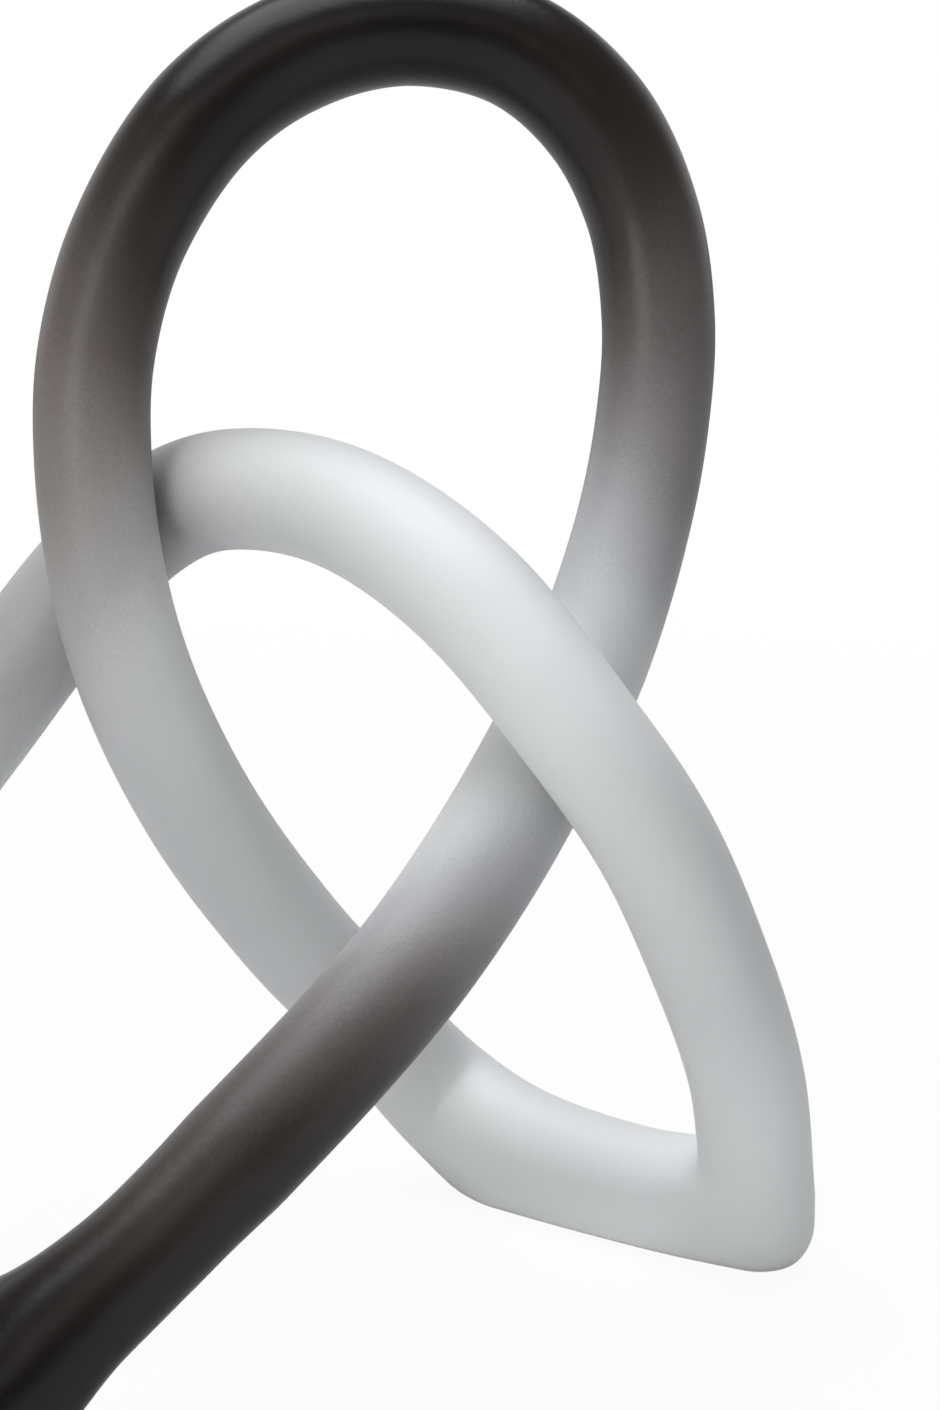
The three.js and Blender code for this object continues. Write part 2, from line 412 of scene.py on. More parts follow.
def ease(share: np.ndarray) -> np.ndarray:
    """Turns a straight rise from 0 to 1 into one with soft ends."""
    share = np.clip(share, 0.0, 1.0)
    return share * share * (3 - 2 * share)


class BarRun:
    """A smooth run of the bar through a list of stations, read off by distance along it.

    Attributes:
        distances: Distance along the run of each row of its tables.
        centres, tangents, radii, drops, shades: Its tables.
        length: Its length.
    """

    STEPS_BETWEEN = 48
    COARSE_STEP = 0.004
    BATCH = 8192
    SEARCH_ROUNDS = 7
    SEARCH_PACE = 0.9
    SOFT_STEP = 0.001
    SOFT_SPREAD = 0.008

    def __init__(self, stations: list[Station]) -> None:
        """Lays the centre line and its tables.

        Args:
            stations: The stations in order along the bar.
        """
        points = [s.centre for s in stations]
        before = 2 * points[0] - points[1]
        after = 2 * points[-1] - points[-2]
        padded = [before, *points, after]
        shares = np.arange(self.STEPS_BETWEEN) / self.STEPS_BETWEEN
        pieces = [self._span(padded[i : i + 4], shares) for i in range(len(points) - 1)]
        self.centres = np.concatenate([*pieces, [points[-1]]])
        steps = np.linalg.norm(np.diff(self.centres, axis=0), axis=1)
        self.distances = np.concatenate([[0.0], np.cumsum(steps)])
        self.length = float(self.distances[-1])
        tangents = np.gradient(self.centres, self.distances, axis=0)
        self.tangents = tangents / np.linalg.norm(tangents, axis=1)[:, None]
        self.radii = self._table([s.diameter / 2 for s in stations])
        self.drops = self._table([s.drop for s in stations])
        self.shades = self._softened(self._table([s.shade for s in stations]))

    @staticmethod
    def _span(four: list[np.ndarray], shares: np.ndarray) -> np.ndarray:
        """Runs a centripetal spline between the middle two of four stations.

        Args:
            four: The stations' centres.
            shares: Shares of the way between the middle two.

        Returns:
            The points in rows.
        """
        gaps = [math.sqrt(float(np.linalg.norm(b - a))) for a, b in zip(four, four[1:])]
        p0, p1, p2, p3 = four
        g0, g1, g2 = gaps
        start = g1 * ((p1 - p0) / g0 - (p2 - p0) / (g0 + g1) + (p2 - p1) / g1)
        end = g1 * ((p2 - p1) / g1 - (p3 - p1) / (g1 + g2) + (p3 - p2) / g2)
        t = shares[:, None]
        cubic = 2 * p1 - 2 * p2 + start + end
        square = -3 * p1 + 3 * p2 - 2 * start - end
        return p1 + t * (start + t * (square + t * cubic))

    def _table(self, values: list[float]) -> np.ndarray:
        """Values given at the stations, with even steps between them."""
        steps = np.arange(len(self.distances)) / self.STEPS_BETWEEN
        return np.interp(steps, np.arange(len(values)), values)

    def _softened(self, table: np.ndarray) -> np.ndarray:
        """Smooths a table along the run.

        Args:
            table: One of the run's tables.

        Returns:
            The smoothed table.
        """
        even = np.arange(0.0, self.length, self.SOFT_STEP)
        reach = round(3 * self.SOFT_SPREAD / self.SOFT_STEP)
        offsets = np.arange(-reach, reach + 1) * self.SOFT_STEP
        weights = np.exp(-0.5 * (offsets / self.SOFT_SPREAD) ** 2)
        padded = np.pad(self.lookup(table, even), reach, mode="edge")
        smooth = np.convolve(padded, weights / weights.sum(), mode="valid")
        return np.interp(self.distances, even, smooth)

    def distance_of(self, index: int) -> float:
        """Distance along the run of a station, by its place in the list."""
        return float(self.distances[index * self.STEPS_BETWEEN])

    def lookup(self, table: np.ndarray, at: np.ndarray) -> np.ndarray:
        """Looks values up.

        Args:
            table: One of the run's tables.
            at: Distances along the run.

        Returns:
            The table's values there.
        """
        if table.ndim == 1:
            return np.interp(at, self.distances, table)
        columns = [np.interp(at, self.distances, column) for column in table.T]
        return np.stack(columns, axis=1)

    def _nearest_step(self, points: np.ndarray, start: float, end: float) -> np.ndarray:
        """Finds the nearest coarse step to each point.

        Args:
            points: Places in rows.
            start, end: Distances along the run where the search starts and ends.

        Returns:
            The steps' distances along the run.
        """
        at = np.linspace(start, end, max(2, round((end - start) / self.COARSE_STEP)))
        centres, drops = self.lookup(self.centres, at), self.lookup(self.drops, at)
        found = np.zeros(len(points))
        for first in range(0, len(points), self.BATCH):
            batch = slice(first, first + self.BATCH)
            apart = points[batch, None, :] - centres[None, :, :]
            apart[:, :, 2] -= np.clip(apart[:, :, 2], -drops[None, :], 0.0)
            square = np.einsum("ijk,ijk->ij", apart, apart)
            found[batch] = at[square.argmin(axis=1)]
        return found

    def read(self, points: np.ndarray, start: float, end: float) -> Reading:
        """Reads the ideal skin of a length of the run at some points.

        Args:
            points: Places in rows.
            start, end: Distances along the run where the length starts and ends.

        Returns:
            The reading at each point.
        """
        travel = self._nearest_step(points, start, end)
        for _ in range(self.SEARCH_ROUNDS):
            apart = self._apart(points, travel)
            along = np.einsum("ij,ij->i", apart, self.lookup(self.tangents, travel))
            travel = np.clip(travel + self.SEARCH_PACE * along, start, end)
        apart = self._apart(points, travel)
        far = np.linalg.norm(apart, axis=1)
        slope = apart / np.maximum(far, WELD)[:, None]
        depth = far - self.lookup(self.radii, travel)
        return Reading(depth, slope, travel, self.lookup(self.shades, travel))

    def _apart(self, points: np.ndarray, travel: np.ndarray) -> np.ndarray:
        """How far each point lies from the centre line, less the drop where it lies below.

        Args:
            points: Places in rows.
            travel: Distance along the run to measure each point from.

        Returns:
            The way from the centre line to each point.
        """
        apart = points - self.lookup(self.centres, travel)
        drop = self.lookup(self.drops, travel)
        apart[:, 2] -= np.clip(apart[:, 2], -drop, 0.0)
        return apart


@dataclass(frozen=True)
class Stretch:
    """A length of a run that belongs to one casting.

    Attributes:
        run: The run that it is part of.
        start, end: Distances along the run, past the joint where it ends in one.
        corner: Distance along the run of the casting's corner.
    """

    run: BarRun
    start: float
    end: float
    corner: float = 0.0

    def read(self, points: np.ndarray) -> Reading:
        """Reads the stretch's ideal skin."""
        return self.run.read(points, self.start, self.end)

    def away_from_corner(self) -> np.ndarray:
        """The direction in which the stretch leaves the casting's corner."""
        way = self.run.lookup(self.run.tangents, np.array([self.corner]))[0]
        return -way if self.corner else way


@dataclass(frozen=True)
class Joint:
    """A butt joint between two castings, with the way that the bar runs through it.

    Attributes:
        run: The run that it lies on.
        distance: Distance along the run.
    """

    run: BarRun
    distance: float

    def _at_joint(self, table: np.ndarray) -> Any:
        """The value there of one of the run's tables."""
        return self.run.lookup(table, np.array([self.distance]))[0]

    @property
    def centre(self) -> Vector:
        """The middle of the joint."""
        return Vector(self._at_joint(self.run.centres))

    @property
    def direction(self) -> Vector:
        """The bar's direction through the joint."""
        return Vector(self._at_joint(self.run.tangents)).normalized()

    @property
    def radius(self) -> float:
        """The bar's radius at the joint."""
        return float(self._at_joint(self.run.radii))


def soft_union(first: Reading, second: Reading, width: np.ndarray) -> Reading:
    """Joins two skins with a fillet.

    Args:
        first: The first skin's reading.
        second: The second skin's reading.
        width: The fillet's width at each point, 0 for a plain join.

    Returns:
        The reading of the joined skin.
    """
    safe = np.maximum(width, WELD)
    share = np.clip(0.5 + 0.5 * (second.depth - first.depth) / safe, 0.0, 1.0)
    depth = second.depth + (first.depth - second.depth) * share - safe * share * (1 - share)
    wide = share[:, None]
    slope = second.slope + (first.slope - second.slope) * wide
    shade = second.shade + (first.shade - second.shade) * share
    return Reading(depth, slope, first.travel, shade)


def flattened(reading: Reading, height: np.ndarray, width: float) -> Reading:
    """Cuts a skin flat at a height, with a rounded edge.

    Args:
        reading: The skin's reading.
        height: How high each point lies over the cut.
        width: The rounded edge's width.

    Returns:
        The reading of the skin with its flat.
    """
    gap = -height - reading.depth
    share = np.clip(0.5 - 0.5 * gap / width, 0.0, 1.0)
    depth = -height + (reading.depth + height) * share + width * share * (1 - share)
    down = np.array((0.0, 0.0, -1.0))
    slope = down + (reading.slope - down) * share[:, None]
    return Reading(depth, slope, reading.travel, reading.shade)


def start_clean() -> None:
    """Deselects everything."""
    bpy.ops.object.select_all(action="DESELECT")


def pick(*objects: bpy.types.Object) -> None:
    """Selects only these objects and makes the first one active.

    Args:
        *objects: The objects.
    """
    start_clean()
    for obj in objects:
        obj.select_set(True)
    bpy.context.view_layer.objects.active = objects[0]


@contextmanager
def editing(obj: bpy.types.Object) -> Iterator[None]:
    """Opens a mesh for editing with all of it selected, and closes it again.

    Args:
        obj: The mesh's object.

    Returns:
        The context to edit in.
    """
    pick(obj)
    bpy.ops.object.mode_set(mode="EDIT")
    bpy.ops.mesh.select_mode(type="FACE")
    bpy.ops.mesh.select_all(action="SELECT")
    yield
    bpy.ops.object.mode_set(mode="OBJECT")


def settle(obj: bpy.types.Object) -> None:
    """Moves an object's place, turn and scale into its mesh."""
    pick(obj)
    bpy.ops.object.transform_apply(location=True, rotation=True, scale=True)


def soften_shading(obj: bpy.types.Object, angle: float) -> None:
    """Shades a mesh smooth, except over edges that turn more than so many degrees."""
    pick(obj)
    bpy.ops.object.shade_smooth_by_angle(angle=math.radians(angle))


def rub(obj: bpy.types.Object, times: int) -> None:
    """Smooths a mesh all over, as many times as given."""
    with editing(obj):
        bpy.ops.mesh.vertices_smooth(factor=0.5, repeat=times)


def apply_modifier(obj: bpy.types.Object, kind: str, **settings: Any) -> None:
    """Adds a modifier and applies it.

    Args:
        obj: The object it goes on.
        kind: Blender's name for the modifier.
        **settings: Its settings.
    """
    pick(obj)
    modifier = obj.modifiers.new(kind.lower(), kind)
    for name, value in settings.items():
        setattr(modifier, name, value)
    bpy.ops.object.modifier_apply(modifier=modifier.name)


def points_of(obj: bpy.types.Object) -> np.ndarray:
    """Reads the places of a mesh's points.

    Args:
        obj: The mesh's object.

    Returns:
        The places in rows.
    """
    flat = np.zeros(len(obj.data.vertices) * 3)
    obj.data.vertices.foreach_get("co", flat)
    return flat.reshape(-1, 3)


def place_points(obj: bpy.types.Object, points: np.ndarray) -> None:
    """Moves a mesh's points to new places."""
    obj.data.vertices.foreach_set("co", points.ravel())
    obj.data.update()


@dataclass
class CastLoop:
    """One casting of the bar, modelled as a fine smooth mesh.

    Attributes:
        casting: Which casting it is.
        slot: The record's slot for its lacquer. It is not used.
        stretches: The one or two lengths of bar that it is made of.
        joints: Its butt joints, each with 1 or -1 for the way out of the casting.
        corner: The station of its rounded corner, where its two stretches meet.
        web: A length of bar that fills the corner out.
        pads: Places of the felt pads under it.
        lean: The place that the bar's side with painted light faces; the side turned away from it
            gets painted shade.
        painted_shade_depth: How much paler the painted light makes that side than the painted shade
            makes the other, in the middle of the fade.
            painted_shade_turn_height, painted_shade_turn_depth: The height above which the painted
            light and painted shade swap sides, and how far up and down the swap takes.
        pad_proud: How far its feet stand over the table.
        ring_step, ring_sides: Fineness of its tubes.
        voxel: Fineness of its skin.
        corner_fillet, corner_run_in: The fillet where its stretches meet, and how far towards the
            inside of the bend it takes to be full.
        low_fillet, low_start, low_depth: How much wider the fillet is low down, and the height at
            which it starts to widen and how far that takes.
        web_fillet, web_run_in: The fillet along the web, and how far along it takes to be full.
        web_reach, web_rubs: How far round the web the skin is rubbed smooth, and how many times.
        even_rubs, even_rounds: Rubs before its skin is trued up, and how often that is done.
        press_rounds, press_limit: Steps that press it onto the ideal skin, and the longest one.
        least_slope: The least square of the skin's slope that a step is worked out from.
        foot_edge: The rounded edge round a foot.
        joint_gap, joint_edge: Room in a joint, and how far its rim is drawn in.
        socket_radius, socket_depth: Size of the pins' sockets.
        recess_radius, recess_top: Size of the pads' recesses.
        reach: How far from a joint its work goes.
    """

    casting: Casting
    slot: Slot
    stretches: list[Stretch]
    joints: list[tuple[Joint, int]]
    corner: Station | None = None
    web: Stretch | None = None
    pads: list[Place] = field(default_factory=list)
    # Painted light and shade: the side of the bar turned to the lean is painted paler, the side turned
    # away darker.
    lean: Place = (0.02, 0.0, 0.15)
    painted_shade_depth: float = 0.6
    painted_shade_turn_height: float = 0.230
    painted_shade_turn_depth: float = 0.025
    pad_proud: float = 0.0008
    ring_step: float = 0.0015
    ring_sides: int = 44
    voxel: float = 0.0011
    corner_fillet: float = 0.006
    corner_run_in: float = 0.014
    low_fillet: float = 0.012
    low_start: float = 0.036
    low_depth: float = 0.014
    web_fillet: float = 0.016
    web_run_in: float = 0.070
    web_reach: float = 0.015
    web_rubs: int = 80
    even_rubs: int = 3
    even_rounds: int = 2
    press_rounds: int = 4
    press_limit: float = 0.003
    least_slope: float = 0.2
    foot_edge: float = 0.0026
    joint_gap: float = 0.0001
    joint_edge: float = 0.00025
    socket_radius: float = 0.0033
    socket_depth: float = 0.0203
    recess_radius: float = 0.0063
    recess_top: float = 0.002
    reach: float = 0.030

    def build(self) -> bpy.types.Object:
        """Models the casting.

        Returns:
            The finished mesh object, at the origin.
        """
        fill = [] if self.web is None else [self.web]
        tubes = [self._tube(stretch) for stretch in [*self.stretches, *fill]]
        if self.corner is not None:
            tubes.append(self._corner_ball(self.corner))
        pick(*tubes)
        if len(tubes) > 1:
            bpy.ops.object.join()
        loop = bpy.context.object
        loop.name = f"{self.casting.value}_lacquered"
        if self.corner is not None:
            apply_modifier(loop, "REMESH", mode="VOXEL", voxel_size=self.voxel)
            self._true_up(loop)
        if self.web is not None:
            self._soften_web(loop, self.web)
        for joint, way in self.joints:
            self._cut_joint(loop, joint, joint.direction * way)
        for x, y, _ in self.pads:
            middle = Vector((x, y, 0.0))
            self._drill(loop, middle, Vector((0, 0, 1)), self.recess_radius, self.recess_top)
        self._store_shade_with_painted_light(loop)
        soften_shading(loop, 35)
        return loop

    def _tube(self, stretch: Stretch) -> bpy.types.Object:
        """Models a closed tube along a stretch.

        Args:
            stretch: The stretch.

        Returns:
            The tube, cut flat over the table.
        """
        run = stretch.run
        steps = round((stretch.end - stretch.start) / self.ring_step)
        at = np.linspace(stretch.start, stretch.end, steps + 1)
        curve = bpy.data.curves.new("bar", "CURVE")
        curve.dimensions = "3D"
        curve.bevel_depth = 1.0
        curve.bevel_resolution = self.ring_sides
        curve.use_fill_caps = True
        spline = curve.splines.new("POLY")
        spline.points.add(len(at) - 1)
        centres, radii = run.lookup(run.centres, at), run.lookup(run.radii, at)
        for point, centre, radius in zip(spline.points, centres, radii):
            point.co = (*centre, 1.0)
            point.radius = radius
        bar = bpy.data.objects.new("bar", curve)
        bpy.context.scene.collection.objects.link(bar)
        pick(bar)
        bpy.ops.object.convert(target="MESH")
        tube = bpy.context.object
        with editing(tube):
            bpy.ops.mesh.remove_doubles(threshold=WELD)
        self._let_down(tube, stretch)
        self._cut_flat(tube)
        return tube

    @staticmethod
    def _let_down(tube: bpy.types.Object, stretch: Stretch) -> None:
        """Lets the lower half of the section down to make the foot.

        Args:
            tube: The tube.
            stretch: The stretch that it follows.
        """
        run = stretch.run
        points = points_of(tube)
        travel = stretch.read(points).travel
        below = points[:, 2] < run.lookup(run.centres, travel)[:, 2]
        points[below, 2] -= run.lookup(run.drops, travel)[below]
        place_points(tube, points)

    def _corner_ball(self, corner: Station) -> bpy.types.Object:
        """Models the rounded end where two runs meet, let down as the bar is.

        Args:
            corner: The station there.

        Returns:
            The ball, cut flat over the table.
        """
        start_clean()
        bpy.ops.mesh.primitive_uv_sphere_add(
            segments=64, ring_count=32, radius=corner.diameter / 2, location=corner.centre
        )
        ball = bpy.context.object
        settle(ball)
        points = points_of(ball)
        points[points[:, 2] < corner.z - WELD, 2] -= corner.drop
        place_points(ball, points)
        self._cut_flat(ball)
        return ball

    def _cut_flat(self, obj: bpy.types.Object) -> None:
        """Cuts the underside flat, just over the table.

        Args:
            obj: The tube or ball.
        """
        level, up = (0, 0, self.pad_proud), (0, 0, 1)
        with editing(obj):
            bpy.ops.mesh.bisect(plane_co=level, plane_no=up, use_fill=True, clear_inner=True)

    def read(self, points: np.ndarray) -> Reading:
        """Reads the casting's ideal skin, with its fillets and flat feet.

        Args:
            points: Places in rows.

        Returns:
            The reading at each point.
        """
        whole = self.stretches[0].read(points)
        if self.corner is not None:
            other = self.stretches[1].read(points)
            whole = soft_union(whole, other, self._fillet_at(points, self.corner))
        if self.web is not None:
            fill = self.web.read(points)
            along = np.minimum(fill.travel, self.web.end - fill.travel)
            width = self.web_fillet * ease(along / self.web_run_in)
            whole = soft_union(whole, fill, width)
        return flattened(whole, points[:, 2] - self.pad_proud, self.foot_edge)

    def _fillet_at(self, points: np.ndarray, corner: Station) -> np.ndarray:
        """Widens the fillet between the two stretches towards the inside of their bend.

        Args:
            points: Places in rows.
            corner: The station where the stretches meet.

        Returns:
            The fillet's width at each point.
        """
        first, second = self.stretches
        inward = first.away_from_corner() + second.away_from_corner()
        inside = (points - corner.centre) @ inward / np.linalg.norm(inward)
        low = ease((self.low_start - points[:, 2]) / self.low_depth)
        full = self.corner_fillet + self.low_fillet * low
        return full * ease(inside / self.corner_run_in)

    def _true_up(self, loop: bpy.types.Object) -> None:
        """Evens the mesh out and presses it onto the ideal skin, so that the bar is truly round.

        Args:
            loop: The casting.
        """
        limit = self.press_limit
        for _ in range(self.even_rounds):
            rub(loop, self.even_rubs)
            points = points_of(loop)
            for _ in range(self.press_rounds):
                reading = self.read(points)
                square = np.einsum("ij,ij->i", reading.slope, reading.slope)
                step = reading.depth / np.maximum(square, self.least_slope)
                step = np.clip(step, -limit, limit)
                points = points - reading.slope * step[:, None]
            place_points(loop, points)

    def _soften_web(self, loop: bpy.types.Object, web: Stretch) -> None:
        """Rubs the corner's fill smooth where it runs into the bar.

        Args:
            loop: The casting.
            web: The length of bar that fills its corner out.
        """
        points = points_of(loop)
        share = ease((self.web_reach - web.read(points).depth) / self.web_reach)
        rub(loop, self.web_rubs)
        place_points(loop, points + (points_of(loop) - points) * share[:, None])

    def _cut_joint(self, loop: bpy.types.Object, joint: Joint, out: Vector) -> None:
        """Cuts the casting off square at a joint, eases the edge and drills the pin's socket.

        Args:
            loop: The casting.
            joint: The joint.
            out: The direction that leads out of the casting there.
        """
        plane = joint.centre - out * (self.joint_gap / 2)
        with editing(loop):
            self._keep_selected_near(loop, joint.centre)
            bpy.ops.mesh.bisect(plane_co=plane, plane_no=out, use_fill=True, clear_outer=True)
            bpy.ops.mesh.inset(thickness=self.joint_edge)
        self._ease_edge(loop, plane, out, joint.radius)
        self._drill(loop, joint.centre, out, self.socket_radius, self.socket_depth)

    @staticmethod
    def _drill(
        loop: bpy.types.Object, middle: Vector, axis: Vector, radius: float, depth: float
    ) -> None:
        """Drills a hole.

        Args:
            loop: The casting.
            middle: A point on the hole's axis, outside of the casting or level with its face.
            axis: The hole's axis.
            radius: The hole's radius.
            depth: How deep it goes from the middle, both ways.
        """
        start_clean()
        turn = axis.to_track_quat("Z", "Y").to_euler()
        bpy.ops.mesh.primitive_cylinder_add(
            vertices=ROUND_SIDES, radius=radius, depth=2 * depth, location=middle, rotation=turn
        )
        drill = bpy.context.object
        apply_modifier(loop, "BOOLEAN", operation="DIFFERENCE", object=drill, solver="MANIFOLD")
        bpy.data.objects.remove(drill)

    def _keep_selected_near(self, loop: bpy.types.Object, centre: Vector) -> None:
        """Leaves only the faces round a place selected.

        Args:
            loop: The casting, open for editing.
            centre: The place.
        """
        bpy.ops.mesh.select_all(action="DESELECT")
        bpy.ops.object.mode_set(mode="OBJECT")
        mesh = loop.data
        flat = np.zeros(len(mesh.polygons) * 3)
        mesh.polygons.foreach_get("center", flat)
        far = np.linalg.norm(flat.reshape(-1, 3) - np.array(centre), axis=1)
        mesh.polygons.foreach_set("select", far < self.reach)
        bpy.ops.object.mode_set(mode="EDIT")

    def _ease_edge(
        self, loop: bpy.types.Object, plane: Vector, out: Vector, bar_radius: float
    ) -> None:
        """Draws the rim of a joint's end in a little, as a lacquered edge is.

        Args:
            loop: The casting.
            plane: The middle of the end.
            out: The direction that leads out of the casting there.
            bar_radius: The bar's radius there.
        """
        points = points_of(loop)
        apart = points - np.array(plane)
        height = apart @ np.array(out)
        flat = apart - height[:, None] * np.array(out)
        far = np.linalg.norm(flat, axis=1)
        level = np.abs(height) < 10 * WELD
        rim = level & (far > bar_radius - self.joint_edge / 2) & (far < self.reach)
        points[rim] -= np.array(out) * self.joint_edge
        place_points(loop, points)

    def _store_shade_with_painted_light(self, loop: bpy.types.Object) -> None:
        """Stores the lacquer's shade at every point, with painted light on the side that turns to the
        lean and painted shade on the other.

        Args:
            loop: The casting.
        """
        points = points_of(loop)
        reading = self.read(points)
        # Painted light and shade: the fade is made paler where the surface turns to the lean and
        # darker where it turns away, with the sides swapped above painted_shade_turn_height.
        aim = np.array(self.lean) - points
        aim[:, 1] = 0.0
        aim /= np.linalg.norm(aim, axis=1)[:, None]
        painted_light_side = np.einsum("ij,ij->i", aim, reading.slope)
        painted_light_side *= np.clip((self.painted_shade_turn_height - points[:, 2]) / self.painted_shade_turn_depth, -1.0, 1.0)
        for joint, _ in self.joints:
            far = np.linalg.norm(points - np.array(joint.centre), axis=1)
            painted_light_side *= ease((far - self.reach / 2) / self.reach)
        shade = reading.shade
        shade = shade - self.painted_shade_depth * painted_light_side * shade * (1 - shade)
        attribute = loop.data.attributes.new(SHADE_ATTRIBUTE, "FLOAT", "POINT")
        attribute.data.foreach_set("value", shade.astype(np.float32))


class Signal:
    """A number that flows between shader nodes, with the arithmetic written as Python's."""

    def __init__(self, graph: Graph, socket: bpy.types.NodeSocket) -> None:
        """Wraps an output socket of a graph's node."""
        self.graph = graph
        self.socket = socket

    def __add__(self, other: Signal | float) -> Signal:
        """Adds."""
        return self.graph.maths("ADD", self, other)

    def __radd__(self, other: float) -> Signal:
        """Adds."""
        return self.graph.maths("ADD", other, self)

    def __sub__(self, other: Signal | float) -> Signal:
        """Subtracts."""
        return self.graph.maths("SUBTRACT", self, other)

    def __rsub__(self, other: float) -> Signal:
        """Subtracts from a number."""
        return self.graph.maths("SUBTRACT", other, self)

    def __mul__(self, other: Signal | float) -> Signal:
        """Multiplies."""
        return self.graph.maths("MULTIPLY", self, other)

    def __rmul__(self, other: float) -> Signal:
        """Multiplies."""
        return self.graph.maths("MULTIPLY", other, self)

    def limited(self) -> Signal:
        """Keeps the number between 0 and 1."""
        return self.graph.maths("ADD", self, 0.0, clamp=True)


class Graph:
    """The node graph of a material or of the world."""

    def __init__(self, owner: bpy.types.Material | bpy.types.World) -> None:
        """Empties the graph of a material or world.

        Args:
            owner: The material or world.
        """
        owner.use_nodes = True
        self.tree = owner.node_tree
        self.tree.nodes.clear()

    def node(
        self,
        kind: str,
        settings: dict[str, Any] | None = None,
        inputs: dict[str | int, Any] | None = None,
    ) -> bpy.types.Node:
        """Makes a node, sets it, and then fills its sockets.

        Args:
            kind: Blender's name for the node's type.
            settings: Its own settings. A ramp's are its stops, as places and colours.
            inputs: Values or signals by the socket's name or number.

        Returns:
            The node.
        """
        node = self.tree.nodes.new(kind)
        for name, value in (settings or {}).items():
            if name == "stops":
                self._set_stops(node.color_ramp, value)
            else:
                setattr(node, name, value)
        for name, value in (inputs or {}).items():
            self.feed(node.inputs[name], value)
        return node

    @staticmethod
    def _set_stops(ramp: bpy.types.ColorRamp, stops: list[tuple[float, Colour]]) -> None:
        """Gives a ramp its stops.

        Args:
            ramp: The ramp.
            stops: Places on it from 0 to 1, each with its colour.
        """
        while len(ramp.elements) < len(stops):
            ramp.elements.new(1.0)
        for element, (place, colour) in zip(ramp.elements, stops):
            element.position = place
            element.color = (*colour, 1.0)

    def feed(self, socket: bpy.types.NodeSocket, value: Any) -> None:
        """Gives a socket a value or links a signal to it.

        Args:
            socket: The socket.
            value: The value or signal.
        """
        if isinstance(value, Signal):
            self.tree.links.new(value.socket, socket)
        else:
            socket.default_value = value

    def maths(
        self, operation: str, first: Signal | float, second: Signal | float, clamp: bool = False
    ) -> Signal:
        """Makes one step of arithmetic.

        Args:
            operation: Blender's name for it.
            first, second: What it works on.
            clamp: Whether the result is kept between 0 and 1.

        Returns:
            The result.
        """
        settings = {"operation": operation, "use_clamp": clamp}
        node = self.node("ShaderNodeMath", settings, {0: first, 1: second})
        return Signal(self, node.outputs["Value"])

    def attribute(self, name: str) -> Signal:
        """Reads a number stored on the mesh."""
        node = self.node("ShaderNodeAttribute", {"attribute_name": name})
        return Signal(self, node.outputs["Fac"])

    def place(self) -> Signal:
        """Reads the place on the object."""
        node = self.node("ShaderNodeTexCoord")
        return Signal(self, node.outputs["Object"])

    def noise(self, place: Signal, period: float, detail: float = 2.0, rough: float = 0.5) -> Signal:
        """Cloudy noise round 0, that mostly stays between -0.5 and 0.5.

        Args:
            place: Where it is read.
            period: Size of its clouds in metres.
            detail: How many finer layers it has.
            rough: How strong the finer layers are.

        Returns:
            The noise.
        """
        inputs = {"Vector": place, "Scale": 1 / period, "Detail": detail, "Roughness": rough}
        node = self.node("ShaderNodeTexNoise", None, inputs)
        return Signal(self, node.outputs["Fac"]) - 0.5

    def bump(self, height: Signal, distance: float) -> Signal:
        """Turns a height, in shares of a distance in metres, into a normal."""
        node = self.node("ShaderNodeBump", None, {"Height": height, "Distance": distance})
        return Signal(self, node.outputs["Normal"])

    def ramp(self, at: Signal, stops: list[tuple[float, Colour]]) -> Signal:
        """Looks a colour up on a ramp."""
        node = self.node("ShaderNodeValToRGB", {"stops": stops}, {"Fac": at})
        return Signal(self, node.outputs["Color"])

    def mix(self, share: Signal | float, first: Any, second: Any, how: str = "MIX") -> Signal:
        """Mixes two colours.

        Args:
            share: The second colour's share.
            first, second: The colours.
            how: Blender's name for the way to mix.

        Returns:
            The mixed colour.
        """
        settings = {"data_type": "RGBA", "blend_type": how}
        node = self.node("ShaderNodeMix", settings, {0: share, 6: first, 7: second})
        return Signal(self, node.outputs[2])

    def rise(self, value: Signal, low: float, high: float) -> Signal:
        """Makes a soft rise from 0 to 1 while a value goes from low to high.

        Args:
            value: The value.
            low, high: Where the rise starts and ends.

        Returns:
            The risen value.
        """
        inputs = {"Value": value, "From Min": low, "From Max": high}
        node = self.node("ShaderNodeMapRange", {"interpolation_type": "SMOOTHSTEP"}, inputs)
        return Signal(self, node.outputs["Result"])

    def parts(self, vector: Signal) -> list[Signal]:
        """Splits a vector into its three parts."""
        node = self.node("ShaderNodeSeparateXYZ", None, {"Vector": vector})
        return [Signal(self, socket) for socket in node.outputs]

    def length(self, vector: Signal) -> Signal:
        """Measures a vector's length."""
        node = self.node("ShaderNodeVectorMath", {"operation": "LENGTH"}, {0: vector})
        return Signal(self, node.outputs["Value"])

    def ray(self, kind: str) -> Signal:
        """Gives 1 for rays of a kind and 0 for others."""
        return Signal(self, self.node("ShaderNodeLightPath").outputs[kind])

    def principled(self, **sockets: Any) -> Signal:
        """Makes a principled surface, from sockets written with _ for a space."""
        inputs = {name.replace("_", " "): value for name, value in sockets.items()}
        return Signal(self, self.node("ShaderNodeBsdfPrincipled", None, inputs).outputs["BSDF"])

    def finish(self, kind: str, surface: Signal) -> None:
        """Links a surface to the graph's output."""
        self.node(f"ShaderNodeOutput{kind}", None, {"Surface": surface})


